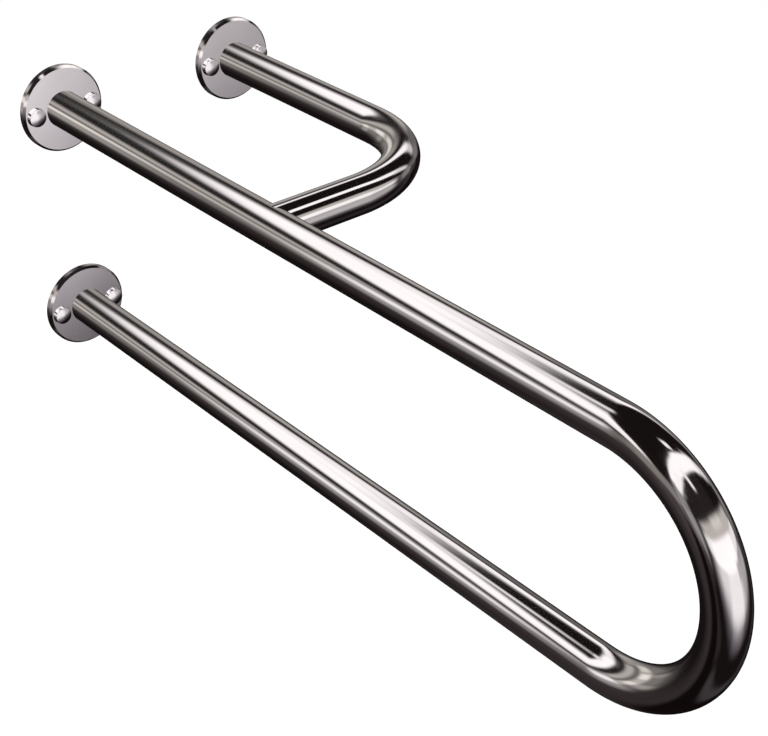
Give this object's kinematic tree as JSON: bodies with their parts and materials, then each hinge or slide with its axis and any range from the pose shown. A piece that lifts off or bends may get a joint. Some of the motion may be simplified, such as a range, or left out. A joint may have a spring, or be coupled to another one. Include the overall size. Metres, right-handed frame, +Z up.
{
  "type": "grab bar",
  "caption": "Wall-mounted grab bar of polished steel tube: a rail bent into a U standing out from the wall, steadied by a bent side brace, on round wall plates with domed screw caps.",
  "frame": {"origin": "centre of the upper wall plate's back face, on the wall plane", "axes": "+Y into the wall, so the rails stand out along -Y; +X along the wall from the main rail towards the brace; +Z up"},
  "size_m": [0.2542, 0.7619, 0.2682],
  "materials": {
    "rail_tube": "polished along its length",
    "brace_tube": "polished along its length",
    "wall_plate": "satin face, polished rim",
    "washer": "moulded",
    "screw_cap": "mirror polished"
  },
  "bodies": {
    "root": {"main_rail": "rail_tube", "brace_rail": "brace_tube", "upper_flange": "wall_plate", "lower_flange": "wall_plate", "brace_flange": "wall_plate", "cap_washers": "washer", "dome_caps": "screw_cap"}
  },
  "joints": []
}
